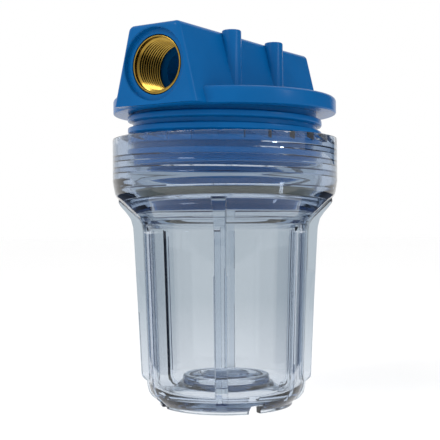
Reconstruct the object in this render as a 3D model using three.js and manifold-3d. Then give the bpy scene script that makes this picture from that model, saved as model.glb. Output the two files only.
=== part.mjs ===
// Cartridge filter housing: moulded head with two threaded brass ports, screwed into a clear bowl.
// Millimetres, +Z up, origin at the centre of the bowl's foot. The inlet faces -Y, the outlet +Y.
// Azimuths are in degrees about +Z, 0 at -Y and 90 at +X.
import * as THREE from 'three';
import { mergeVertices } from 'three/addons/utils/BufferGeometryUtils.js';
import Module from 'manifold-3d';

const wasm = await Module();
wasm.setup();

// Screw thread between head and bowl, left-handed as built.
const PITCH = 6.0;
const THREAD_Z = 148.55; // male crest height at THREAD_AZ
const THREAD_AZ = 30;
const MALE = { root: 47.9, tip: 51.2, rootWidth: 4.4, tipWidth: 2.5 };
const FEMALE = { root: 52.1, tip: 49.0, rootWidth: 3.2, tipWidth: 1.45 };
const MALE_TURNS = [-0.5, 3.5]; // turns below THREAD_Z
const FEMALE_TURNS = [2.0, 4.875];
const TURN_STEPS = 48;

// Head.
const FLANGE_R = 58.7;
const FLANGE_Z = [152.2, 160.6];
const SKIRT_R = 48.4;
const SKIRT_BORE_R = 44.9;
const SKIRT_END_Z = 125.2;
const ROOF_Z = 154.4;
const BLOCK_TOP_Z = 191.2;
const BLOCK_HALF = { foot: 24.6, top: 14.9, length: 62.8 };
const BLOCK_EDGE = 2.6;
const OUTLET_FLARE = { from: 27, extra: 1.4 }; // the outlet end is wider than the rest of the block
const BOSS = { r: 4.9, along: 21.0, across: 18.0, topZ: 192.0, holeR: 2.1, holeDepth: 16 };
const SPIGOT = { r: 14, bore: 9.5, endZ: 146 };

// Ports, 3/4 inch parallel pipe thread in brass inserts.
const PORT_Z = 171.5;
const PORT_RECESS = { r: 17.5, depth: 2.9 };
const INSERT = { r: 14.25, length: 21.5, majorR: 13.22, minorR: 12.06, pitch: 1.814 };
const INSERT_GAP = 0.35;
const PASSAGE_R = 9.5;
const INLET_DROP_Y = -28;

// Bowl.
const COLLAR_R = 59.2;
const RIM_Z = 139.6;
const COLLAR_BORE_R = 51.7;
const SEAL_LEDGE_Z = 110.6;
const SEAL_POCKET_R = 50.7;
const BODY_R = { top: 43.8, topZ: 92, foot: 41.0, footZ: 13 };
const WALL = 3.4;
const FLOOR_Z = 12.2; // of the raised middle; the trough round it follows the foot
const FOOT = { outer: 35.0, inner: 31.0, troughZ: 3.6, recessR: 23.5, recessZ: 8.4 };
const RIB_AZ = 29.8;
const RIB_WIDTH = 5.8;
const LOW_RIB_WIDTH = 6.2;
const GUIDE = { az: [27.5, 92, 143, 207.5, 272, 323], width: 3.0, height: 1.9 };
const SEAT_RING = { outer: 23.2, inner: 18.4, tipR: 20.8, topZ: 16 };
const CENTRE_BOSS = { r: 12.4, topZ: 16.8 };
const NOTCH = { count: 4, az: 57, width: 6.0, topZ: 4.1 };
const RATCHET = { count: 27, az: 29.6, outer: 55.6, lowZ: 135.8, highZ: 139.25 };
const FACETS = 48;
const CORNER = [[37.4, 13.5], [36.6, 10.3], [35.0, 8.3], [32.6, 7.1], [30.6, 7.0], [28.6, 8.2]]; // inside

// O-ring.
const SEAL = { r: 48.6, section: 1.5, z: 112.4 };

const radians = THREE.MathUtils.degToRad;

function polar(radius, azimuth, z) {
  const a = radians(azimuth);
  return new THREE.Vector3(radius * Math.sin(a), -radius * Math.cos(a), z);
}

// A closed manifold solid from a geometry: welded, without empty triangles, facing outwards.
function solid(geometry) {
  const bare = new THREE.BufferGeometry();
  bare.setAttribute('position', geometry.getAttribute('position').clone());
  if (geometry.index) bare.setIndex(geometry.index.clone());
  const welded = mergeVertices(bare, 1e-4);
  const p = welded.getAttribute('position');
  const index = welded.index.array;
  const tris = [];
  let volume = 0;
  const [a, b, c] = [new THREE.Vector3(), new THREE.Vector3(), new THREE.Vector3()];
  for (let i = 0; i < index.length; i += 3) {
    const [u, v, w] = [index[i], index[i + 1], index[i + 2]];
    if (u === v || v === w || w === u) continue;
    tris.push(u, v, w);
    a.fromBufferAttribute(p, u);
    b.fromBufferAttribute(p, v);
    c.fromBufferAttribute(p, w);
    volume += a.dot(b.cross(c));
  }
  if (volume < 0) {
    for (let i = 0; i < tris.length; i += 3) [tris[i], tris[i + 1]] = [tris[i + 1], tris[i]];
  }
  return new wasm.Manifold(new wasm.Mesh({
    numProp: 3,
    vertProperties: new Float32Array(p.array),
    triVerts: new Uint32Array(tris),
  }));
}

function geometryOf(manifold) {
  const mesh = manifold.getMesh();
  const geometry = new THREE.BufferGeometry();
  geometry.setAttribute('position', new THREE.BufferAttribute(new Float32Array(mesh.vertProperties), 3));
  geometry.setIndex(new THREE.BufferAttribute(new Uint32Array(mesh.triVerts), 1));
  geometry.computeVertexNormals();
  return geometry;
}

function sum(parts) {
  return parts.reduce((whole, part) => whole.add(part));
}

// Closed (radius, z) profile turned about Z.
function turned(profile, facets = FACETS) {
  const points = [...profile, profile[0]].map(([r, z]) => new THREE.Vector2(r, z));
  return solid(new THREE.LatheGeometry(points, facets).rotateX(Math.PI / 2));
}

// Upright or level cylinder: axis 'z' from z0 to z1 at (x, y), or axis 'y' from y0 to y1 at (x, z).
function rod(axis, r, from, to, u, v, facets = 40) {
  const g = new THREE.CylinderGeometry(r, r, to - from, facets);
  const mid = (from + to) / 2;
  if (axis === 'z') g.rotateX(Math.PI / 2).translate(u, v, mid);
  else g.translate(u, mid, v);
  return solid(g);
}

// Plate with a (radius, z) outline, centred on a half plane at the azimuth.
function plate(outline, width, azimuth) {
  const shape = new THREE.Shape(outline.map(([r, z]) => new THREE.Vector2(r, z)));
  const g = new THREE.ExtrudeGeometry(shape, { depth: width, bevelEnabled: false });
  g.translate(0, 0, -width / 2).rotateX(Math.PI / 2).rotateZ(radians(azimuth - 90));
  return solid(g);
}

// Points of an arc about (cx, cz) between two angles in degrees.
function arc(cx, cz, r, from, to, steps) {
  return Array.from({ length: steps + 1 }, (_, i) => {
    const a = radians(from + ((to - from) * i) / steps);
    return [cx + r * Math.cos(a), cz + r * Math.sin(a)];
  });
}

// Helical ridge whose section runs from root to tip; it sinks into the root at both ends.
// turns counts from (az, z) downwards for a left-hand thread, and upwards for a right-hand one.
function ridge({ root, tip, rootWidth, tipWidth }, { pitch, az, z, turns, hand, steps, fade }) {
  const count = Math.round((turns[1] - turns[0]) * steps);
  const positions = [];
  const index = [];
  for (let i = 0; i <= count; i += 1) {
    const t = turns[0] + i / steps;
    const toEnd = Math.min(i, count - i) / steps / fade;
    const rise = Math.min(1, 0.04 + toEnd);
    const midZ = z + hand * pitch * t;
    const tipNow = root + (tip - root) * rise;
    const tipWide = rootWidth + (tipWidth - rootWidth) * rise;
    const section = [[root, -rootWidth], [tipNow, -tipWide], [tipNow, tipWide], [root, rootWidth]];
    for (const [r, w] of section) positions.push(...polar(r, az + 360 * t, midZ + w / 2).toArray());
  }
  for (let i = 0; i < count; i += 1) {
    for (let k = 0; k < 4; k += 1) {
      const [a, b] = [4 * i + k, 4 * i + ((k + 1) % 4)];
      index.push(a, b, a + 4, b, b + 4, a + 4);
    }
  }
  const last = 4 * count;
  index.push(0, 2, 1, 0, 3, 2, last, last + 1, last + 2, last, last + 2, last + 3);
  const g = new THREE.BufferGeometry();
  g.setAttribute('position', new THREE.Float32BufferAttribute(positions, 3));
  g.setIndex(index);
  return solid(g);
}

function mainThread(section, turns, offset) {
  return ridge(section, {
    pitch: PITCH, az: THREAD_AZ, z: THREAD_Z + offset, turns, hand: -1, steps: TURN_STEPS, fade: 0.2,
  });
}

// ---------------------------------------------------------------- head

// Rounded trapezoid bar along Y from y0 to y1; bevelled ends are rounded over by BLOCK_EDGE.
function blockBar(y0, y1) {
  const { foot, top } = BLOCK_HALF;
  const e = BLOCK_EDGE;
  const slope = (foot - top) / (BLOCK_TOP_Z - FLANGE_Z[0]);
  const lowZ = FLANGE_Z[0] - 6;
  const halfAt = (z) => foot - slope * (z - FLANGE_Z[0]) - e;
  const round = 1.2;
  const right = [[halfAt(lowZ), lowZ], [halfAt(BLOCK_TOP_Z - e - round), BLOCK_TOP_Z - e - round],
    [top - e - round, BLOCK_TOP_Z - e]];
  const left = right.map(([x, z]) => [-x, z]).reverse();
  const shape = new THREE.Shape([...right, ...left].map(([x, z]) => new THREE.Vector2(x, z)));
  const g = new THREE.ExtrudeGeometry(shape, {
    depth: y1 - y0 - 2 * e, bevelThickness: e, bevelSize: e, bevelSegments: 3,
  });
  return g.rotateX(Math.PI / 2).translate(0, y1 - e, 0);
}

function portBlock() {
  const { length } = BLOCK_HALF;
  const { from, extra } = OUTLET_FLARE;
  const flared = blockBar(0, length);
  const p = flared.getAttribute('position');
  for (let i = 0; i < p.count; i += 1) {
    const share = Math.max(0, (p.getY(i) - from) / (length - from));
    p.setX(i, p.getX(i) + Math.sign(p.getX(i)) * extra * share);
  }
  const below = solid(new THREE.BoxGeometry(80, 160, 20).translate(0, 0, FLANGE_Z[0] - 10));
  const middle = blockBar(-length, from + BLOCK_EDGE);
  return solid(flared).add(solid(middle)).subtract(below);
}

function flangeDisc() {
  const [low, high] = FLANGE_Z;
  const r = FLANGE_R;
  return turned([[0, low], [r - 0.8, low], [r - 0.2, low + 0.3], [r, low + 1], [r, high - 2.2],
    [r - 0.7, high - 0.8], [r - 2.3, high], [0, high]]);
}

function bosses(make) {
  const parts = [];
  for (const along of [-1, 1]) {
    for (const across of [-1, 1]) parts.push(make(across * BOSS.across, along * BOSS.along));
  }
  return sum(parts);
}

function portCutter(side) {
  const face = BLOCK_HALF.length + 1;
  const floor = BLOCK_HALF.length - PORT_RECESS.depth;
  const pocketEnd = floor - INSERT.length - INSERT_GAP;
  const cut = (r, from, to) => {
    const [y0, y1] = side < 0 ? [-to, -from] : [from, to];
    return rod('y', r, y0, y1, 0, PORT_Z, 48);
  };
  const passageEnd = side < 0 ? -INLET_DROP_Y : 0;
  return sum([cut(PORT_RECESS.r, floor, face), cut(INSERT.r + INSERT_GAP, pocketEnd, face),
    cut(PASSAGE_R, passageEnd, face)]);
}

function headSolid() {
  const shell = sum([flangeDisc(), portBlock(), bosses((x, y) => rod('z', BOSS.r, 157, BOSS.topZ, x, y, 28))]);
  const skirt = turned([[SKIRT_BORE_R, SKIRT_END_Z + 0.8], [SKIRT_BORE_R + 0.8, SKIRT_END_Z],
    [SKIRT_R - 0.8, SKIRT_END_Z], [SKIRT_R, SKIRT_END_Z + 0.9], [SKIRT_R, ROOF_Z],
    [SKIRT_BORE_R, ROOF_Z]]);
  const cavity = rod('z', SKIRT_BORE_R, 130, ROOF_Z, 0, 0, FACETS);
  const spigot = turned([[SPIGOT.bore, SPIGOT.endZ], [SPIGOT.r - 1.5, SPIGOT.endZ],
    [SPIGOT.r, SPIGOT.endZ + 1.5], [SPIGOT.r, ROOF_Z + 1], [SPIGOT.bore, ROOF_Z + 1]], 48);
  const drops = sum([rod('z', PASSAGE_R, ROOF_Z - 2, PORT_Z, 0, INLET_DROP_Y, 48),
    rod('z', PASSAGE_R, ROOF_Z - 10, PORT_Z, 0, 0, 48)]);
  const pilots = bosses((x, y) => rod('z', BOSS.holeR, BOSS.topZ - BOSS.holeDepth, 200, x, y, 20));
  const body = shell.subtract(cavity).add(skirt).add(spigot)
    .subtract(sum([drops, pilots, portCutter(-1), portCutter(1)]));
  return body.add(mainThread(MALE, MALE_TURNS, 0));
}

// ---------------------------------------------------------------- inserts

// Built about Z with its mouth at z = 0 and its inner end below, then laid along Y.
function insertSolid() {
  const { r, length, majorR, minorR, pitch } = INSERT;
  const shell = turned([[majorR, -length + 0.8], [majorR + 0.3, -length], [r - 0.4, -length],
    [r, -length + 0.4], [r, -0.4], [r - 0.3, 0], [majorR + 0.35, 0], [majorR, -0.5]], 20);
  const section = { root: majorR + 0.25, tip: minorR, rootWidth: 1.72, tipWidth: 0.3 };
  const turns = (length - 2.6) / pitch;
  return shell.add(ridge(section, {
    pitch, az: 0, z: -length + 1.3, turns: [0, turns], hand: 1, steps: 20, fade: 0.35,
  }));
}

// ---------------------------------------------------------------- bowl

function wallRadius(z) {
  const { top, topZ, foot, footZ } = BODY_R;
  return foot + ((top - foot) * (z - footZ)) / (topZ - footZ);
}

function bowlShell() {
  const inner = (z) => wallRadius(z) - WALL;
  const outside = [[0, FOOT.recessZ], [FOOT.recessR, FOOT.recessZ], [FOOT.inner - 1.8, FOOT.troughZ],
    [FOOT.inner, FOOT.troughZ], [FOOT.inner + 0.2, 0], [FOOT.outer - 0.5, 0], [FOOT.outer, 0.5], [FOOT.outer + 0.3, 1.5],
    [37.3, 3.6], [39.1, 5.9], [40.3, 8.6], [40.8, 11], [wallRadius(14), 14], [BODY_R.top, BODY_R.topZ],
    [44.4, 94.6], [46.0, 97.2], [48.2, 99.4], [54.6, 105.8], [57.0, 108.2], [58.5, 110.9],
    [59.1, 114.3], [COLLAR_R, 117], [COLLAR_R, RIM_Z - 0.9], [COLLAR_R - 0.8, RIM_Z]];
  const inside = [[COLLAR_BORE_R + 0.5, RIM_Z], [COLLAR_BORE_R, RIM_Z - 0.6], [COLLAR_BORE_R, 115],
    [SEAL_POCKET_R, 114], [SEAL_POCKET_R, SEAL_LEDGE_Z], [46.4, SEAL_LEDGE_Z], [45.7, SEAL_LEDGE_Z - 0.7],
    [45.4, 104.2], [44.6, 102.2], [42.4, 100], [41.0, 98], [inner(93), 93],
    [inner(16), 16], ...CORNER, [FOOT.recessR + 0.6, FLOOR_Z], [SEAT_RING.outer, FLOOR_Z],
    [SEAT_RING.tipR + 1, SEAT_RING.topZ], [SEAT_RING.tipR - 1, SEAT_RING.topZ],
    [SEAT_RING.inner, FLOOR_Z], [CENTRE_BOSS.r, FLOOR_Z], [CENTRE_BOSS.r - 0.4, CENTRE_BOSS.topZ],
    [0, CENTRE_BOSS.topZ]];
  return turned([...outside, ...inside]);
}

function outerRib(azimuth) {
  const tall = [[wallRadius(14) - 1.2, 15.5], [43.6, 13.1], [44.5, 14.1], [44.9, 16], [46.7, 55],
    [48.6, 88], [48.9, 93], [50.0, 97.4], [52.2, 100.6], [55.6, 104.6], [56.6, 106.4], [56.4, 107.6],
    [55.2, 108.2], [50, 104], [46, 100], [42.4, 92]];
  const low = [[37, 8], [33, 2.6], [34, 1.7], [36.2, 1.7], [37.4, 2.2], [39.3, 4.0], [40.9, 6.4],
    [41.6, 9], [41.9, 12], [42.1, 16], [40, 16]];
  return plate(tall, RIB_WIDTH, azimuth).add(plate(low, LOW_RIB_WIDTH, azimuth));
}

function guideRib(azimuth) {
  const inner = (z) => wallRadius(z) - WALL;
  const h = GUIDE.height;
  const outline = [[inner(93) + 1, 93], [inner(16) + 1, 16], [38.0, 12.2], [36.6, 8.2], [33.6, 6.2],
    [31.6, 6.2], [31.6, 7.6], [32.4, 8.7], [34.0, 10.2], [35.2, 11.9], [35.6, 14], [inner(18) - h, 18],
    [inner(90) - h, 90], [inner(92) - 1, 92.4]];
  return plate(outline, GUIDE.width, azimuth);
}

function ratchetCutter(azimuth) {
  const { count, outer, lowZ, highZ } = RATCHET;
  const step = 360 / count;
  const top = RIM_Z + 2;
  const corner = [[0, highZ], [step, lowZ], [step, top], [0, top]];
  const positions = [];
  for (const r of [COLLAR_BORE_R - 1.2, outer]) {
    for (const [a, z] of corner) positions.push(...polar(r, azimuth + a, z).toArray());
  }
  const index = [0, 1, 2, 0, 2, 3, 4, 6, 5, 4, 7, 6];
  for (let k = 0; k < 4; k += 1) {
    const n = (k + 1) % 4;
    index.push(k, k + 4, n, n, k + 4, n + 4);
  }
  const g = new THREE.BufferGeometry();
  g.setAttribute('position', new THREE.Float32BufferAttribute(positions, 3));
  g.setIndex(index);
  return solid(g);
}

function footNotch(azimuth) {
  const { width, topZ } = NOTCH;
  const outline = [[30.4, -1], [39, -1], [39, topZ], [30.4, topZ]];
  return plate(outline, width, azimuth);
}

function around(count, start, make) {
  return sum(Array.from({ length: count }, (_, i) => make(start + (360 * i) / count)));
}

function bowlSolid() {
  const cuts = around(RATCHET.count, RATCHET.az, ratchetCutter);
  return bowlShell()
    .add(around(4, RIB_AZ, outerRib))
    .add(sum(GUIDE.az.map(guideRib)))
    .subtract(cuts)
    .subtract(around(NOTCH.count, NOTCH.az, footNotch))
    .add(mainThread(FEMALE, FEMALE_TURNS, -PITCH / 2));
}

function sealSolid() {
  return turned(arc(SEAL.r, 0, SEAL.section, 0, 324, 9));
}

// ---------------------------------------------------------------- assembly

function piece(name, manifold, color, options = {}) {
  const material = new THREE.MeshStandardMaterial({ color, roughness: 0.4, ...options });
  const mesh = new THREE.Mesh(geometryOf(manifold), material);
  mesh.name = name;
  return mesh;
}

const housing = new THREE.Group();
housing.name = 'cartridge_filter_housing';

housing.add(piece('head', headSolid(), 0x1c5f9e));

const insert = insertSolid();
const mouth = BLOCK_HALF.length - PORT_RECESS.depth;
for (const [name, side] of [['inlet_insert', -1], ['outlet_insert', 1]]) {
  const mesh = piece(name, insert, 0xb8923f, { metalness: 1, roughness: 0.3 });
  mesh.rotation.x = (-side * Math.PI) / 2;
  mesh.position.set(0, side * mouth, PORT_Z);
  housing.add(mesh);
}

housing.add(piece('bowl', bowlSolid(), 0xc3cede, { transparent: true, opacity: 0.35, roughness: 0.08 }));

const seal = piece('bowl_seal', sealSolid(), 0x2d302b, { roughness: 0.8 });
seal.position.z = SEAL.z;
housing.add(seal);

export default housing;
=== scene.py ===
"""Cartridge filter housing: moulded head, brass port inserts, clear bowl and its O-ring.

Sizes are in millimetres and become metres when a mesh is made. Azimuths are in degrees about +Z,
0 at -Y and 90 at +X. A profile is a list of (radius, z) points; a third number rounds a corner.
"""

import math

import bmesh
import bpy
import numpy as np
from mathutils import Matrix, Vector


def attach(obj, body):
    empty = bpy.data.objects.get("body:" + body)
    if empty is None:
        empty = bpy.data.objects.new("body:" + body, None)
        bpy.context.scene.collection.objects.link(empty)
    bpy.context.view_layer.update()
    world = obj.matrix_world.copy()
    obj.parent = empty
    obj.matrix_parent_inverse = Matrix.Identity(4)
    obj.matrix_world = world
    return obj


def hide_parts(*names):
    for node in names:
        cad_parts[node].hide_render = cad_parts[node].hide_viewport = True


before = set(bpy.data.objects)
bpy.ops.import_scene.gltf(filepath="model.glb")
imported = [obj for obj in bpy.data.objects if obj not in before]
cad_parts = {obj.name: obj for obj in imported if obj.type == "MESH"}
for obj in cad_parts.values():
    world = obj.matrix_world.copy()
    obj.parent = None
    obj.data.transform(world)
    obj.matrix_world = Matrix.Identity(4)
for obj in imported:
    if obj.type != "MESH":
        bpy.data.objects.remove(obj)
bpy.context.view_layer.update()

MM = 0.001
SCENE = bpy.context.scene

# ------------------------------------------------------------------ sizes: screw thread

PITCH = 6.0
LEFT_HAND, RIGHT_HAND = -1, 1
THREAD_AZ, THREAD_Z = 30.0, 148.55  # azimuth and height of the head's crest line at turn 0
HEAD_TURNS, BOWL_TURNS, TURN_FADE = (-0.5, 3.5), (2.0, 4.875), 0.2
BEAD_HEIGHT, BEAD_HALF, BEAD_FLANK, BEAD_DOME_HALF = 2.78, 2.05, 0.75, 2.1
RIDGE_CREST_R, RIDGE_TIP_HALF, RIDGE_ROOT_HALF = 49.0, 1.0, 1.65
RIDGE_ROWS = (1.65, 1.55, 1.35, 1.1, 1.0, 0.4, -0.4, -1.0, -1.1, -1.35, -1.55, -1.65, -2.4, -3.0, -3.6)
RIDGE_SOFT, RIDGE_ROUND = 0.1, 2.6

# ------------------------------------------------------------------ sizes: bowl

COLLAR_R, RIM_Z, COLLAR_BORE_R, BORE_Z = 59.2, 139.6, 51.7, (114.5, 135.5)
SEAL_LEDGE_Z, SEAL_POCKET_R = 110.6, 50.7
WALL_FOOT, WALL_TOP, WALL = (41.0, 13.0), (43.8, 92.0), 3.4  # outside of the wall, and its thickness
UNDERSIDE_Z, FOOT_R, FLOOR_Z = 8.4, (31.2, 35.0), 12.2
SEAT_RING_Z = 16.0
CENTRE_BOSS_R, CENTRE_BOSS_Z, CENTRE_ROUGH_R, CENTRE_ROUGH = 12.0, 16.8, 11.4, 0.16
RIB_AZ, RIB_HALF, LOW_RIB_HALF, LOW_RIB_R = 29.8, 3.63, 4.25, 43.0
RIB_COLUMNS = (0, 1.5, 2.6, 3.15, 3.37, 3.51, 3.63, 3.75, 3.89, 4.1, 4.3, 4.5, 5.2)
GUIDE_AZ, GUIDE_HALF, GUIDE_HEIGHT = (27.5, 92, 143, 207.5, 272, 323), 2.15, 1.9
GUIDE_TOP_Z, GUIDE_TOP_FADE, GUIDE_END_R, GUIDE_END_FADE = 93.2, 1.6, 31.2, 1.0
GUIDE_COLUMNS = (0, 1.2, 1.75, 1.95, 2.1, 2.25, 2.4, 2.6, 3.2)
NOTCH_AZ, NOTCH_HALF, NOTCH_Z, NOTCH_FROM_R, NOTCH_FLATTEN = 57.0, 5.0, 4.1, 30.5, 0.94
TEETH, TOOTH_AZ, TOOTH_Z, TOOTH_R = 27, 29.6, (135.8, 139.25), 55.3
SIDE_SPAN = 0.4  # degrees over which a side of a rib, guide or notch rises
FINE, COARSE = 1.2, 1.6  # longest edges along the bowl's profile

# ------------------------------------------------------------------ sizes: head, inserts and seal

SKIRT_R, SKIRT_BORE_R, SKIRT_END_Z, SKIRT_STEP = 48.4, 44.9, 125.2, 0.22
FLANGE_R, FLANGE_Z, ROOF_Z = 58.7, (152.2, 160.6), 154.4
BLOCK_FOOT, BLOCK_TOP, BLOCK_LENGTH, BLOCK_TOP_Z = 24.6, 14.9, 62.8, 191.2  # half sizes, top height
BLOCK_EDGE, BLOCK_CORNER, BLOCK_CORNER_DEPTH = 2.6, 3.2, 6.0
FLARE_FROM, FLARE_EXTRA = 27, 1.4
BOSS_R, BOSS_ALONG, BOSS_ACROSS, BOSS_FOOT_Z, BOSS_TOP_Z = 4.9, 21.0, 18.0, 156.5, 192.0
PILOT_R, PILOT_DEPTH = 2.1, 16.0
PORT_Z, RECESS_R, RECESS_DEPTH, RECESS_FLARE = 171.5, 17.5, 2.9, 1.1
PASSAGE_R, INLET_DROP_Y, PAST_DROP = 9.5, -28.0, 1.3
SPIGOT_R, SPIGOT_END_Z = 14.0, 146.0
CUT_FROM_Z, CUT_PAST = 140.0, 1.0
HEAD_COLUMNS = 224
INSERT_R, INSERT_LENGTH, INSERT_GAP = 14.25, 21.5, 0.35
PIPE_MAJOR, PIPE_MINOR, PIPE_PITCH, PIPE_FADE = 13.22, 12.06, 1.814, 0.3
PIPE_TIP_HALF, PIPE_ROOT_HALF = 0.22, 0.78
PIPE_ROWS = (0.78, 0.6, 0.4, 0.22, 0.0, -0.22, -0.4, -0.6, -0.78)
SEAL_R, SEAL_SECTION, SEAL_Z = 48.6, 1.48, 112.4

# ------------------------------------------------------------------ camera, cards and lights

CAMERA_AZ, CAMERA_DISTANCE, CAMERA_HEIGHT, CAMERA_ROLL = 33.0, 520.0, 94.8, 0.32
SENSOR, LENS, CAMERA_SHIFT = 36.0, 80.1818, (-0.0120455, 0.0090909)  # shift in parts of the sensor

# Cards stand along or square to the line of sight: "ahead" is how far past the bowl's axis,
# "away" is how far to the side, and "low" is the height of the lower edge.
SIDE_CARD = {"ahead": 60.0, "away": 125.0, "low": 0.0, "width": 240.0, "height": 86.0}
HIGH_CARD = {"ahead": 150.0, "away": 300.0, "low": 150.0, "width": 420.0, "height": 330.0}
FRONT_CARD = {"ahead": -700.0, "away": 0.0, "low": 0.0, "width": 2600.0, "height": 1000.0}
BACK_CARD = {"ahead": 115.0, "away": 0.0, "low": 0.0, "width": 240.0, "height": 200.0}
DARK = (0.10, 0.125, 0.185, 1)
FRONT_GREY, FRONT_FADE = (0.32, 0.32, 0.32), (0.25, 1.2)  # grey up to one distance, white at the other
BACK_LOW, BACK_GREY, BACK_GREY_Z = (0.97, 0.98, 0.985), (0.635, 0.685, 0.705), 46.0

# Lamps aim at LAMP_AIM_Z on the axis, from a metre away.
LAMP_DISTANCE, LAMP_AIM_Z = 1000.0, 100.0
KEY = {"azimuth": CAMERA_AZ - 50, "elevation": 42, "size": (300, 300), "power": 2.2}
FILL = {"azimuth": CAMERA_AZ + 64, "elevation": 24, "size": (80, 400), "power": 1.3}
GROUND_R, GROUND_DROP, GROUND_GLOW = 6000.0, 0.4, 0.1


def make_camera():
    """Level camera whose place, lens and shift were fitted to the photograph."""
    data = bpy.data.cameras.new("camera")
    data.sensor_width = SENSOR
    data.lens = LENS
    data.shift_x, data.shift_y = CAMERA_SHIFT
    data.clip_start, data.clip_end = 0.01, 20
    camera = bpy.data.objects.new("camera", data)
    az = math.radians(CAMERA_AZ)
    place = (CAMERA_DISTANCE * math.sin(az), -CAMERA_DISTANCE * math.cos(az), CAMERA_HEIGHT)
    camera.location = [v * MM for v in place]
    camera.rotation_mode = "XYZ"
    camera.rotation_euler = (math.pi / 2, math.radians(CAMERA_ROLL), az)
    SCENE.collection.objects.link(camera)
    SCENE.camera = camera


# ------------------------------------------------------------------ mesh helpers


def mesh_object(name, verts, faces, sharp=35):
    mesh = bpy.data.meshes.new(name)
    mesh.from_pydata((np.asarray(verts) * MM).tolist(), [], faces)
    bm = bmesh.new()
    bm.from_mesh(mesh)
    bmesh.ops.remove_doubles(bm, verts=bm.verts, dist=2e-6)
    bmesh.ops.dissolve_degenerate(bm, edges=bm.edges, dist=1e-6)
    bmesh.ops.recalc_face_normals(bm, faces=bm.faces)
    bm.to_mesh(mesh)
    bm.free()
    smooth(mesh, sharp)
    obj = bpy.data.objects.new(name, mesh)
    SCENE.collection.objects.link(obj)
    return obj


def smooth(mesh, sharp):
    mesh.polygons.foreach_set("use_smooth", [True] * len(mesh.polygons))
    mesh.set_sharp_from_angle(angle=math.radians(sharp))


def ring_points(radius, z, azimuth):
    """Grid of 3-D points from (rows, columns) radii and heights and the columns' azimuths."""
    a = np.radians(azimuth)[None, :]
    return np.stack([radius * np.sin(a), -radius * np.cos(a), z + 0 * a], -1)


def profile_rings(profile, azimuth):
    """Grid of 3-D points of a plain solid of revolution."""
    p = np.array(profile, float)
    return ring_points(p[:, :1] + 0 * azimuth[None], p[:, 1:] + 0 * azimuth[None], azimuth)


def wrap(points, closed_rows=True, poles=(False, False)):
    """Faces over a (rows, columns, 3) grid whose columns close into a ring.

    Rows close into a loop too, or each end closes with a fan (poles) or is left open.
    """
    rows, cols = points.shape[:2]
    verts = points.reshape(-1, 3).tolist()
    faces = []
    for i in range(rows if closed_rows else rows - 1):
        a, b = i * cols, ((i + 1) % rows) * cols
        for j in range(cols):
            k = (j + 1) % cols
            faces.append((a + j, a + k, b + k, b + j))
    for pole, row in zip(poles, (0, rows - 1)):
        if pole:
            verts.append(points[row].mean(0).tolist())
            tip, a = len(verts) - 1, row * cols
            faces += [(a + j, a + (j + 1) % cols, tip) for j in range(cols)]
    return verts, faces


def joined(*parts):
    """One list of vertices and one of faces from several pairs of them."""
    verts, faces = [], []
    for part_verts, part_faces in parts:
        faces += [tuple(i + len(verts) for i in face) for face in part_faces]
        verts += list(part_verts)
    return verts, faces


def turned(name, profile, columns):
    """Solid of revolution; its profile starts and ends on the axis, or closes on itself."""
    az = np.arange(columns) * 360 / columns
    on_axis = profile[0][0] == 0
    rings = profile_rings(profile[1:-1] if on_axis else profile, az)
    return mesh_object(name, *wrap(rings, not on_axis, (on_axis, on_axis)))


def fillet(corner, before, after, r, steps=6):
    """Arc of radius r that rounds a corner between two neighbouring points."""
    c, p, q = (np.array(v, float) for v in (corner, before, after))
    u, v = (p - c) / np.linalg.norm(p - c), (q - c) / np.linalg.norm(q - c)
    half = math.acos(max(-1, min(1, float(u @ v)))) / 2
    middle = c + (u + v) / np.linalg.norm(u + v) * r / math.sin(half)
    first = c + u * r / math.tan(half) - middle
    last = c + v * r / math.tan(half) - middle
    sweep = np.sign(first[0] * last[1] - first[1] * last[0]) * (math.pi - 2 * half)
    arc = []
    for i in range(steps + 1):
        t = sweep * i / steps
        arc.append((middle[0] + first[0] * math.cos(t) - first[1] * math.sin(t),
                    middle[1] + first[0] * math.sin(t) + first[1] * math.cos(t)))
    return arc


def rounded(profile):
    """Profile with each (radius, z, fillet radius) corner turned into an arc."""
    out = []
    for i, p in enumerate(profile):
        if len(p) == 2:
            out.append(tuple(p))
        else:
            out += fillet(p[:2], profile[i - 1][:2], profile[(i + 1) % len(profile)][:2], p[2])
    return out


def resample(profile, step):
    """Adds points so that none of the profile's edges is longer than the step."""
    out = [profile[0]]
    for p, q in zip(profile, profile[1:]):
        n = max(1, math.ceil(math.dist(p, q) / step))
        out += [tuple(np.array(p) + (np.array(q) - np.array(p)) * i / n) for i in range(1, n + 1)]
    return out


def ease(x):
    x = np.clip(x, 0, 1)
    return x * x * (3 - 2 * x)


def around(centre, count):
    """Azimuths of equally spaced copies."""
    return [centre + 360 * i / count for i in range(count)]


def away(azimuth, centres):
    """Angle in degrees from each azimuth to the nearest of the centres."""
    d = (np.asarray(azimuth)[:, None] - np.asarray(centres)[None, :] + 180) % 360 - 180
    return np.abs(d).min(1)


def band(azimuth, centres, half):
    """1 within half an angle of a centre and 0 outside, with sides that rise over SIDE_SPAN."""
    return 1 - ease((away(azimuth, centres) - half + SIDE_SPAN / 2) / SIDE_SPAN)


def columns_with(features, base):
    """Azimuths every `base` degrees, with the features' own azimuths put in place of near ones."""
    wanted = sorted(f % 360 for f in features)
    keep = [a for a in np.arange(0, 360, base) if away([a], wanted)[0] > 0.25 * base]
    out = []
    for a in sorted(wanted + keep):
        if not out or a - out[-1] > 0.04:
            out.append(a)
    return np.array(out)


def boolean(target, cutter, operation):
    mod = target.modifiers.new("cut", "BOOLEAN")
    mod.operation = operation
    mod.solver = "MANIFOLD"
    mod.object = cutter
    with bpy.context.temp_override(object=target, active_object=target):
        bpy.ops.object.modifier_apply(modifier=mod.name)
    bpy.data.objects.remove(cutter)


# ------------------------------------------------------------------ threads


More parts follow.
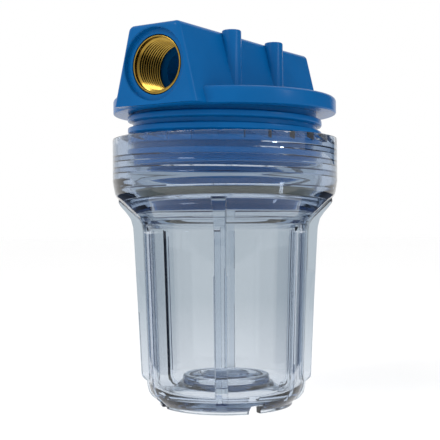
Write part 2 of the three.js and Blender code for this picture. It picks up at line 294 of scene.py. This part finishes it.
class Helix:
    """Ridge of a thread: its crest is at z0 at azimuth az0, where turn 0 starts.

    form(distance from the crest line) is the ridge's height, which fades in and out at its ends.
    """

    def __init__(self, az0, z0, pitch, hand, turns, fade, form):
        self.az0, self.z0, self.pitch, self.hand = az0, z0, pitch, hand
        self.turns, self.fade, self.form = turns, fade, form

    def height(self, az, z):
        start, end = self.turns
        height = np.zeros_like(z)
        for k in range(math.floor(start) - 1, math.ceil(end) + 2):
            t = ((az - self.az0) % 360) / 360 + k
            inside = np.minimum(t - start, end - t) / self.fade
            rise = ease(inside) * (inside > 0)
            crest = self.z0 + self.hand * self.pitch * t
            height = np.maximum(height, rise * self.form(np.abs(z - crest)))
        return height


def ridge_form(depth, tip_half, root_half):
    """Trapezoid ridge with slightly softened edges."""
    def form(distance):
        x = (root_half - distance) / (root_half - tip_half)
        soft = 0.5 * (1 + np.tanh((x - 0.5) * RIDGE_ROUND))
        return depth * ((1 - RIDGE_SOFT) * np.clip(x, 0, 1) + RIDGE_SOFT * soft)
    return form


def bead_form(distance):
    """Rounded thread crest of the head."""
    flank = np.clip((BEAD_HALF - distance) / BEAD_FLANK, 0, 1)
    dome = np.sqrt(np.clip(1 - (distance / BEAD_DOME_HALF) ** 4, 0, 1))
    return BEAD_HEIGHT * ease(flank) ** 0.8 * dome


def threaded_bore(az, z_low, z_high, bore_r, helix, offsets):
    """Bore with a ridge in it, on rows that follow the crest line so that its edges stay crisp.

    Offsets are the rows' heights over the crest line, from the highest down, within one pitch.
    """
    above = math.ceil((z_high - helix.z0) / helix.pitch) + 3
    below = math.floor((z_low - helix.z0) / helix.pitch) - 4
    row = np.array([helix.pitch * k + d for k in range(above, below, -1) for d in offsets])
    line = helix.z0 + helix.hand * helix.pitch * (az - helix.az0) / 360
    z = np.clip(row[:, None] + line[None], z_low, z_high)
    verts = ring_points(bore_r - helix.height(az[None] + 0 * z, z), z, az)
    rows, cols = z.shape
    faces = []
    for j in range(cols):
        k = (j + 1) % cols
        slip = -helix.hand * len(offsets) if k == 0 else 0
        for i in range(max(0, -slip), min(rows, rows - slip) - 1):
            if z[i, j] > z[i + 1, j] or z[i + slip, k] > z[i + 1 + slip, k]:
                a, b = i * cols + j, (i + slip) * cols + k
                faces.append((a, b, b + cols, a + cols))
    return verts.reshape(-1, 3).tolist(), faces


# ------------------------------------------------------------------ bowl


def wall_inside(z):
    (r0, z0), (r1, z1) = WALL_FOOT, WALL_TOP
    return r0 + (r1 - r0) * (z - z0) / (z1 - z0) - WALL


def outside_profile():
    """Bowl's outside, from the middle of its underside to the rim."""
    inner, outer = FOOT_R
    under = rounded([(0.01, UNDERSIDE_Z), (23.5, UNDERSIDE_Z, 1.2), (29.2, 3.6, 1.2), (31.0, 3.6, 0.5),
                     (inner, 0.0, 0.4), (outer, 0.0, 0.5), (35.2, 1.6, 0.6), (37.6, 3.9), (39.4, 6.4),
                     (40.45, 9.2), (40.9, 12.0)])
    shoulder = rounded([(40.9, 12.0), WALL_TOP, (44.3, 94.9, 1.5), (46.4, 98.1, 4.0), (53.9, 105.6),
                        (58.0, 109.7, 7.0), (COLLAR_R, 117.0), (COLLAR_R, RIM_Z, 0.9),
                        (COLLAR_R - 3, RIM_Z)])
    return resample(under[:-1], COARSE) + resample(shoulder[:-1], FINE)


def inside_profile():
    """Bowl's inside, from the foot of the collar's bore to the middle of the floor."""
    inside = rounded([(COLLAR_BORE_R, BORE_Z[0]), (SEAL_POCKET_R, 114.0), (SEAL_POCKET_R, SEAL_LEDGE_Z, 0.5),
                      (45.6, SEAL_LEDGE_Z, 0.9), (45.4, 103.2, 2.2), (42.4, 100.2, 1.2), (41.2, 98.2, 1.0),
                      (wall_inside(94), 95.0, 1.5), (wall_inside(20), 20.0), (37.4, 7.0, 6.0),
                      (30.4, 7.0, 2.2), (24.3, FLOOR_Z, 0.8), (23.4, FLOOR_Z, 0.2), (22.6, SEAT_RING_Z, 1.1),
                      (19.4, SEAT_RING_Z, 1.0), (18.4, FLOOR_Z, 0.5), (12.5, FLOOR_Z, 0.3),
                      (CENTRE_BOSS_R, CENTRE_BOSS_Z, 0.4), (11.6, CENTRE_BOSS_Z)])
    return resample(inside, FINE) + [(r, CENTRE_BOSS_Z) for r in np.arange(11.5, 0, -0.5)]


def bowl_columns():
    """Azimuths of the bowl's columns, close together where a rib, guide, notch or tooth has its sides."""
    edges = []
    notch_columns = [NOTCH_HALF + d for d in (-0.25, -0.1, 0.1, 0.25)]
    for centres, offsets in ((around(RIB_AZ, 4), RIB_COLUMNS), (around(NOTCH_AZ, 4), notch_columns),
                             (GUIDE_AZ, GUIDE_COLUMNS), (around(TOOTH_AZ, TEETH), (0.06, 0.22))):
        edges += [c + side * d for c in centres for d in offsets for side in (-1, 1)]
    return columns_with(edges, 1.5)


def rib_radius(z):
    """Outer surface of the ribs: the tall rib, and the low one that runs on over the foot's corner."""
    z_at = [1.75, 2.3, 4.0, 6.4, 9.0, 11.0, 12.1, 12.6, 13.3, 14.3, 16.0, 55.0, 88.0, 93.0, 97.4,
            100.6, 104.6, 106.4, 107.2, 107.6]
    r_at = [36.0, 37.4, 39.3, 40.9, 41.6, 41.85, 41.95, 42.6, 43.7, 44.5, 44.95, 46.75, 48.5, 48.85,
            49.95, 52.15, 55.55, 56.55, 56.5, 56.0]
    return np.interp(z, z_at, r_at, left=0, right=0)


def bowl_outside(az):
    """Rings of the outside, with its ribs and the notches in its foot."""
    p = np.array(outside_profile())
    p_r, p_z = p[:, :1], p[:, 1:]
    half = np.where(p_r < LOW_RIB_R, LOW_RIB_HALF, RIB_HALF)
    outer_side = np.arange(len(p))[:, None] > np.argmax(p_r > FOOT_R[1] + 0.05)
    push = np.maximum(rib_radius(p_z) - p_r, 0) * outer_side
    r = p_r + push * band(az, around(RIB_AZ, 4), half)
    in_foot = (p_r > NOTCH_FROM_R) & (p_z < NOTCH_Z)
    lift = np.where(in_foot, NOTCH_Z - NOTCH_FLATTEN * p_z, 0)
    return ring_points(r, p_z + lift * band(az, around(NOTCH_AZ, 4), NOTCH_HALF), az)


def bowl_rim(az):
    """Rings of the flat rim, of the ratchet teeth sunk in its inner edge, and of the bore's top."""
    flat = resample([(COLLAR_R - 0.9, RIM_Z), (TOOTH_R + 0.05, RIM_Z)], 1.0)
    low, high = TOOTH_Z
    tooth = high + (low - high) * ((az - TOOTH_AZ) % (360 / TEETH)) / (360 / TEETH)
    toothed_r = np.array([r for r, z in resample([(TOOTH_R, RIM_Z), (COLLAR_BORE_R, RIM_Z)], 0.9)])
    toothed = ring_points(toothed_r[:, None] + 0 * az[None], tooth[None] + 0 * toothed_r[:, None], az)
    bore_top = profile_rings([(COLLAR_BORE_R, BORE_Z[1])], az)
    return np.concatenate([profile_rings(flat, az), toothed, bore_top])


def bowl_inside(az):
    """Rings of the inside, with its guide ribs and the rough top of the centre boss."""
    p = np.array(inside_profile())
    tangent = np.gradient(p, axis=0)
    tangent /= np.maximum(np.linalg.norm(tangent, axis=1, keepdims=True), 1e-9)
    below_top = ease((GUIDE_TOP_Z - p[:, 1]) / GUIDE_TOP_FADE)
    on_wall = below_top * ease((p[:, 0] - GUIDE_END_R) / GUIDE_END_FADE)
    height = (GUIDE_HEIGHT * on_wall)[:, None] * band(az, GUIDE_AZ, GUIDE_HALF)[None]
    r = p[:, :1] - height * np.abs(tangent[:, 1:])
    z = p[:, 1:] + height * np.abs(tangent[:, :1])
    x, y = r * np.sin(np.radians(az)), r * np.cos(np.radians(az))
    rough = np.sin(4.1 * x + 1.3 * y) * np.sin(3.7 * y - 1.9 * x)
    rough = rough + np.sin(7.3 * x - 2.2) * np.sin(6.1 * y + 0.7)
    return ring_points(r, z - CENTRE_ROUGH * (1 + rough) * (p[:, :1] < CENTRE_ROUGH_R), az)


def build_bowl():
    az = bowl_columns()
    form = ridge_form(COLLAR_BORE_R - RIDGE_CREST_R, RIDGE_TIP_HALF, RIDGE_ROOT_HALF)
    thread = Helix(THREAD_AZ, THREAD_Z - PITCH / 2, PITCH, LEFT_HAND, BOWL_TURNS, TURN_FADE, form)
    top = wrap(np.concatenate([bowl_outside(az), bowl_rim(az)]), False, (True, False))
    bore = threaded_bore(az, *BORE_Z, COLLAR_BORE_R, thread, RIDGE_ROWS)
    floor = wrap(bowl_inside(az), False, (False, True))
    bowl = mesh_object("bowl_clear", *joined(top, bore, floor), sharp=40)
    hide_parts("bowl")
    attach(bowl, "bowl")
    bowl.data.materials.append(clear_plastic())
    bowl.visible_shadow = bowl.visible_diffuse = False


# ------------------------------------------------------------------ head


def block_section(inset):
    """Outline of the port block, (x, z): a trapezoid with rounded top corners, drawn in by an inset."""
    slope = (BLOCK_FOOT - BLOCK_TOP) / (BLOCK_TOP_Z - FLANGE_Z[0])
    top, foot = BLOCK_TOP_Z - inset, FLANGE_Z[0] + 0.05

    def half(z):
        return BLOCK_FOOT - slope * (z - FLANGE_Z[0]) - inset * math.hypot(1, slope)

    heights = [foot + (top - BLOCK_CORNER_DEPTH - foot) * i / 6 for i in range(7)]
    corner_r = max(BLOCK_CORNER - inset * 0.6, 0.6)
    corner = fillet((half(top), top), (half(foot), foot), (0, top), corner_r, 8)
    right = [(half(z), z) for z in heights] + corner
    flat = [(corner[-1][0] * (1 - i / 4), top) for i in range(1, 4)]
    mirrored = [(-x, z) for x, z in reversed(right + flat)]
    return right + flat + [(0, top)] + mirrored


def port_block():
    """Port block along Y with eased ends, widening a little towards the outlet."""
    ends = []
    for i in range(9):
        a = math.pi / 2 * i / 8
        ends.append((BLOCK_LENGTH - BLOCK_EDGE * (1 - math.sin(a)), BLOCK_EDGE * (1 - math.cos(a))))
    straight = BLOCK_LENGTH - BLOCK_EDGE
    middle = [(y, 0.0) for y in np.linspace(-straight, straight, 9)[1:-1]]
    stations = [(-y, inset) for y, inset in reversed(ends)] + middle + ends
    verts, rings = [], []
    for y, inset in stations:
        outline = block_section(inset)
        rings.append(range(len(verts), len(verts) + len(outline)))
        verts += [(x, y, z) for x, z in outline]
    faces = []
    for a, b in zip(rings, rings[1:]):
        n = len(a)
        faces += [(a[i], a[(i + 1) % n], b[(i + 1) % n], b[i]) for i in range(n)]
    faces += [tuple(rings[0]), tuple(reversed(rings[-1]))]
    verts = np.array(verts)
    share = np.maximum(0, verts[:, 1] - FLARE_FROM) / (BLOCK_LENGTH - FLARE_FROM)
    verts[:, 0] += np.sign(verts[:, 0]) * FLARE_EXTRA * share
    return mesh_object("block", verts, faces)


def rod(name, axis, stations, u, v, columns):
    """Round bar along 'y' or 'z' from (place, radius) stations; u and v are its other coordinates."""
    az = np.arange(columns) * 360 / columns
    c, s = np.cos(np.radians(az)), np.sin(np.radians(az))
    rows = []
    for place, r in stations:
        x, across, along = u + r * c, v + r * s, 0 * c + place
        rows.append(np.stack((x, across, along) if axis == "z" else (x, along, across), -1))
    return mesh_object(name, *wrap(np.array(rows), False, (True, True)))


def boss(x, y):
    stations = ((BOSS_FOOT_Z, BOSS_R + 0.25), (BOSS_TOP_Z - 0.8, BOSS_R), (BOSS_TOP_Z - 0.35, BOSS_R - 0.12),
                (BOSS_TOP_Z - 0.08, BOSS_R - 0.45), (BOSS_TOP_Z, BOSS_R - 0.9))
    return rod("boss", "z", stations, x, y, 48)


def port_cutters(side):
    """Recess, insert pocket and passage of the port on one side, -1 or 1 along Y."""
    face, floor = BLOCK_LENGTH, BLOCK_LENGTH - RECESS_DEPTH
    pocket = floor - INSERT_LENGTH - INSERT_GAP
    inner = (-INLET_DROP_Y if side < 0 else 0) - PAST_DROP
    recess_end = face + 0.6
    recess = ((floor, RECESS_R), (recess_end - RECESS_FLARE, RECESS_R), (recess_end, RECESS_R + RECESS_FLARE))
    hole = ((pocket, INSERT_R + INSERT_GAP), (face + CUT_PAST, INSERT_R + INSERT_GAP))
    passage = ((inner, PASSAGE_R), (face + CUT_PAST, PASSAGE_R))
    for stations in (recess, hole, passage):
        cutter = rod("cut", "y", stations, 0, PORT_Z, 96)
        if side < 0:
            cutter.data.transform(Matrix.Rotation(math.pi, 4, "Z"))
        yield cutter


def head_body():
    low, high = FLANGE_Z
    bore = SKIRT_R - 1.5
    body = turned("head_shell", rounded([(0, ROOF_Z), (bore, ROOF_Z), (bore, low), (FLANGE_R, low, 0.8),
                                         (FLANGE_R, high, 2.3), (0, high)]), HEAD_COLUMNS)
    block = port_block()
    core = ((CUT_FROM_Z, bore + 0.1), (ROOF_Z, bore + 0.1))
    boolean(block, rod("core", "z", core, 0, 0, HEAD_COLUMNS), "DIFFERENCE")
    boolean(body, block, "UNION")
    pilot = ((BOSS_TOP_Z - PILOT_DEPTH, PILOT_R), (BOSS_TOP_Z + CUT_PAST, PILOT_R))
    for x in (-BOSS_ACROSS, BOSS_ACROSS):
        for y in (-BOSS_ALONG, BOSS_ALONG):
            boolean(body, boss(x, y), "UNION")
            boolean(body, rod("pilot", "z", pilot, x, y, 32), "DIFFERENCE")
    for side in (-1, 1):
        for cutter in port_cutters(side):
            boolean(body, cutter, "DIFFERENCE")
    drop = ((CUT_FROM_Z, PASSAGE_R - 0.1), (PORT_Z + 1, PASSAGE_R - 0.1))
    for y in (INLET_DROP_Y, 0):
        boolean(body, rod("drop", "z", drop, 0, y, 60), "DIFFERENCE")
    smooth(body.data, 32)
    return body


def head_skirt():
    """Skirt with its rounded thread beads."""
    az = np.arange(0, 360, 1.5)
    p = np.array(resample([(SKIRT_R, SKIRT_END_Z + 0.9), (SKIRT_R, FLANGE_Z[0] + 0.8)], SKIRT_STEP))
    z = p[:, 1:] + 0 * az[None]
    thread = Helix(THREAD_AZ, THREAD_Z, PITCH, LEFT_HAND, HEAD_TURNS, TURN_FADE, bead_form)
    outside = ring_points(SKIRT_R + thread.height(az[None] + 0 * z, z), z, az)
    inside = rounded([(SKIRT_R - 0.3, ROOF_Z + 0.4), (SKIRT_BORE_R, ROOF_Z + 0.4),
                      (SKIRT_BORE_R, SKIRT_END_Z, 0.7), (SKIRT_R - 0.1, SKIRT_END_Z, 0.6)])
    return mesh_object("skirt", *wrap(np.concatenate([outside, profile_rings(inside, az)])))


def spigot():
    """Middle tube that the cartridge's end seats on."""
    return turned("spigot", rounded([(PASSAGE_R, SPIGOT_END_Z, 0.5), (SPIGOT_R, SPIGOT_END_Z, 1.2),
                                     (SPIGOT_R, ROOF_Z + 0.5), (PASSAGE_R, ROOF_Z + 0.5)]), 96)


def build_head():
    body = head_body()
    parts = [body, head_skirt(), spigot()]
    with bpy.context.temp_override(active_object=body, object=body, selected_objects=parts,
                                   selected_editable_objects=parts):
        bpy.ops.object.join()
    body.name = "head_shell"
    body.data.materials.clear()
    body.data.materials.append(head_plastic())
    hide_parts("head")
    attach(body, "head")


# ------------------------------------------------------------------ inserts and seal


def insert_mesh(name):
    """Brass insert about Z, mouth at z 0: lip, chamfer and right-hand pipe thread."""
    az = np.arange(0, 360, 3.0)
    end, lead_in = 0.3 - INSERT_LENGTH, -0.5
    shell = [(PIPE_MAJOR, end)] + rounded([
        (PIPE_MAJOR, -INSERT_LENGTH, 0.25), (INSERT_R, -INSERT_LENGTH, 0.4), (INSERT_R, 0, 0.45),
        (PIPE_MAJOR + 0.1, 0, 0.2)]) + [(PIPE_MAJOR + 0.1, -0.25), (PIPE_MAJOR, lead_in)]
    form = ridge_form(PIPE_MAJOR - PIPE_MINOR, PIPE_TIP_HALF, PIPE_ROOT_HALF)
    turns = (INSERT_LENGTH - 2.5) / PIPE_PITCH
    thread = Helix(0, 1.2 - INSERT_LENGTH, PIPE_PITCH, RIGHT_HAND, (0, turns), PIPE_FADE, form)
    bore = threaded_bore(az, end, lead_in, PIPE_MAJOR, thread, PIPE_ROWS)
    return mesh_object(name, *joined(wrap(profile_rings(shell, az), False), bore), sharp=50)


def build_inserts():
    brass_look = brass()
    for name, side in (("inlet_insert", -1), ("outlet_insert", 1)):
        ring = insert_mesh(name + "_brass")
        turn = Matrix.Rotation(-side * math.pi / 2, 4, "X")
        shift = Matrix.Translation((0, side * (BLOCK_LENGTH - RECESS_DEPTH) * MM, PORT_Z * MM))
        ring.data.transform(shift @ turn)
        ring.data.materials.append(brass_look)
        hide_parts(name)
        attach(ring, "head")


def build_seal():
    az = np.linspace(0, 360, 240, endpoint=False)
    t = np.radians(np.arange(0, 360, 15))[:, None]
    r = SEAL_R + SEAL_SECTION * np.cos(t) + 0 * az[None]
    z = SEAL_Z + SEAL_SECTION * np.sin(t) + 0 * az[None]
    ring = mesh_object("bowl_o_ring", *wrap(ring_points(r, z, az)), sharp=180)
    ring.data.materials.append(seal_rubber())
    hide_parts("bowl_seal")
    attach(ring, "seal")


# ------------------------------------------------------------------ materials


class Look:
    """A material with its node tree and the few procedural nodes that the looks here need."""

    def __init__(self, name):
        self.material = bpy.data.materials.new(name)
        self.material.use_nodes = True
        self.nodes, self.links = self.material.node_tree.nodes, self.material.node_tree.links
        self.bsdf = self.nodes["Principled BSDF"]

    def set(self, **values):
        """Sets the shader's own sockets: base_color=... is Base Color."""
        for key, value in values.items():
            name = " ".join(w if w == "IOR" else w.capitalize() for w in key.split("_"))
            self.bsdf.inputs[name].default_value = value

    def place(self):
        return self.nodes.new("ShaderNodeTexCoord").outputs["Object"]

    def noise(self, scale, detail):
        tex = self.nodes.new("ShaderNodeTexNoise")
        tex.inputs["Scale"].default_value = scale
        tex.inputs["Detail"].default_value = detail
        tex.inputs["Roughness"].default_value = 0.55
        self.links.new(self.place(), tex.inputs["Vector"])
        return tex.outputs["Fac"]

    def ramp(self, source, low, high, at=(0.35, 0.65)):
        node = self.nodes.new("ShaderNodeValToRGB")
        for element, place, colour in zip(node.color_ramp.elements, at, (low, high)):
            element.position = place
            element.color = (*colour, 1)
        self.links.new(source, node.inputs["Fac"])
        return node.outputs["Color"]

    def colour(self, source, low, high):
        self.links.new(self.ramp(source, low, high), self.bsdf.inputs["Base Color"])

    def roughness(self, source, low, high):
        node = self.nodes.new("ShaderNodeMapRange")
        node.inputs["To Min"].default_value, node.inputs["To Max"].default_value = low, high
        self.links.new(source, node.inputs["Value"])
        self.links.new(node.outputs["Result"], self.bsdf.inputs["Roughness"])

    def bump(self, source, strength, distance):
        node = self.nodes.new("ShaderNodeBump")
        node.inputs["Strength"].default_value = strength
        node.inputs["Distance"].default_value = distance
        self.links.new(source, node.inputs["Height"])
        self.links.new(node.outputs["Normal"], self.bsdf.inputs["Normal"])

    def show(self, shader_output):
        self.links.new(shader_output, self.nodes["Material Output"].inputs["Surface"])


def head_plastic():
    look = Look("head_plastic")
    look.set(IOR=1.49, specular_IOR_level=0.09)
    wide = look.noise(30, 4)
    look.colour(wide, (0.0014, 0.088, 0.270), (0.0020, 0.100, 0.305))
    look.roughness(wide, 0.20, 0.28)
    look.bump(look.noise(900, 3), 0.12, 0.0002)
    return look.material


def brass():
    look = Look("brass")
    look.set(metallic=1.0)
    wide = look.noise(160, 5)
    look.colour(wide, (0.29, 0.18, 0.032), (0.40, 0.26, 0.054))
    look.roughness(wide, 0.15, 0.23)
    return look.material


def clear_plastic():
    look = Look("clear_plastic")
    look.set(base_color=(0.96, 0.96, 0.955, 1), transmission_weight=1.0, IOR=1.5)
    look.roughness(look.noise(60, 2), 0.0, 0.03)
    tint = look.nodes.new("ShaderNodeVolumeAbsorption")
    tint.inputs["Color"].default_value = (0.15, 0.33, 0.55, 1)
    tint.inputs["Density"].default_value = 62
    look.links.new(tint.outputs["Volume"], look.nodes["Material Output"].inputs["Volume"])
    return look.material


def seal_rubber():
    look = Look("seal_rubber")
    fine = look.noise(500, 3)
    look.colour(fine, (0.045, 0.05, 0.035), (0.065, 0.07, 0.05))
    look.roughness(fine, 0.42, 0.6)
    return look.material


# ------------------------------------------------------------------ stage and light


def make_stage():
    """White floor a hair under the foot, with a faint glow that hides its horizon."""
    bpy.ops.mesh.primitive_circle_add(vertices=96, radius=GROUND_R * MM, fill_type="NGON",
                                      location=(0, 0, -GROUND_DROP * MM))
    floor = bpy.context.object
    floor.name = "floor"
    look = Look("floor")
    look.set(base_color=(0.88, 0.88, 0.88, 1), roughness=0.9)
    look.set(emission_color=(1, 1, 1, 1), emission_strength=GROUND_GLOW)
    floor.data.materials.append(look.material)


def dark_card_look():
    """Dark for rays that the plastic has reflected, and clear for the ones that go straight through it."""
    look = Look("dark_card")
    glow = look.nodes.new("ShaderNodeEmission")
    glow.inputs["Color"].default_value = DARK
    path = look.nodes.new("ShaderNodeLightPath")
    mix = look.nodes.new("ShaderNodeMixShader")
    look.links.new(path.outputs["Glossy Depth"], mix.inputs[0])
    look.links.new(look.nodes.new("ShaderNodeBsdfTransparent").outputs["BSDF"], mix.inputs[1])
    look.links.new(glow.outputs["Emission"], mix.inputs[2])
    look.show(mix.outputs["Shader"])
    return look.material


def front_card_look(middle):
    """Grey near the middle of the card's lower edge, and white far from it."""
    look = Look("front_card")
    far = look.nodes.new("ShaderNodeVectorMath")
    far.operation = "DISTANCE"
    far.inputs[1].default_value = middle * MM
    look.links.new(look.place(), far.inputs[0])
    glow = look.nodes.new("ShaderNodeEmission")
    look.links.new(look.ramp(far.outputs["Value"], FRONT_GREY, (1, 1, 1), FRONT_FADE), glow.inputs["Color"])
    look.show(glow.outputs["Emission"])
    return look.material


def back_card_look():
    """Nearly white at the floor, and grey from BACK_GREY_Z up."""
    look = Look("grey_card")
    split = look.nodes.new("ShaderNodeSeparateXYZ")
    look.links.new(look.place(), split.inputs["Vector"])
    glow = look.nodes.new("ShaderNodeEmission")
    shade = look.ramp(split.outputs["Z"], BACK_LOW, BACK_GREY, (0, BACK_GREY_Z * MM))
    look.links.new(shade, glow.inputs["Color"])
    look.show(glow.outputs["Emission"])
    return look.material


def place_cards():
    """Cards that the camera, diffuse light and shadows don't see.

    Dark ones at the sides and higher up draw the bowl's dark edges. A wide one in front dims the
    reflections, and a grey one behind gives the clear plastic its backdrop.
    """
    az = math.radians(CAMERA_AZ)
    forward = np.array([-math.sin(az), math.cos(az), 0])
    right = np.array([math.cos(az), math.sin(az), 0])

    def card(name, sizes, along, side, look):
        middle = side * sizes["away"] * right + sizes["ahead"] * forward + np.array([0, 0, sizes["low"]])
        a, b = middle - along * sizes["width"] / 2, middle + along * sizes["width"] / 2
        lift = np.array([0, 0, sizes["height"]])
        obj = mesh_object(name, [a, b, b + lift, a + lift], [(0, 1, 2, 3)])
        obj.visible_camera = obj.visible_diffuse = obj.visible_shadow = False
        obj.data.materials.append(look)
        return obj

    dark = dark_card_look()
    for side in (-1, 1):
        card("side_card", SIDE_CARD, forward, side, dark)
    card("high_card", HIGH_CARD, forward, 1, dark).visible_transmission = False
    front_look = front_card_look(FRONT_CARD["ahead"] * forward)
    card("front_card", FRONT_CARD, right, 1, front_look).visible_transmission = False
    card("backdrop", BACK_CARD, right, 1, back_card_look()).visible_glossy = False


def area_light(name, azimuth, elevation, size, power):
    data = bpy.data.lights.new(name, "AREA")
    data.shape = "RECTANGLE"
    data.size, data.size_y = (v * MM for v in size)
    data.energy = power
    light = bpy.data.objects.new(name, data)
    a, e = math.radians(azimuth), math.radians(elevation)
    back = Vector((math.sin(a) * math.cos(e), -math.cos(a) * math.cos(e), math.sin(e)))
    light.location = back * (LAMP_DISTANCE * MM) + Vector((0, 0, LAMP_AIM_Z * MM))
    light.rotation_mode = "QUATERNION"
    light.rotation_quaternion = (-back).to_track_quat("-Z", "Y")
    SCENE.collection.objects.link(light)


def make_world():
    world = bpy.data.worlds.new("world")
    world.use_nodes = True
    background = world.node_tree.nodes["Background"]
    background.inputs["Color"].default_value = (1, 1, 1, 1)
    background.inputs["Strength"].default_value = 1.0
    SCENE.world = world
    SCENE.view_settings.view_transform = "Standard"


make_camera()
make_world()
make_stage()
place_cards()
area_light("key", **KEY)
area_light("fill", **FILL)
build_head()
build_inserts()
build_seal()
build_bowl()
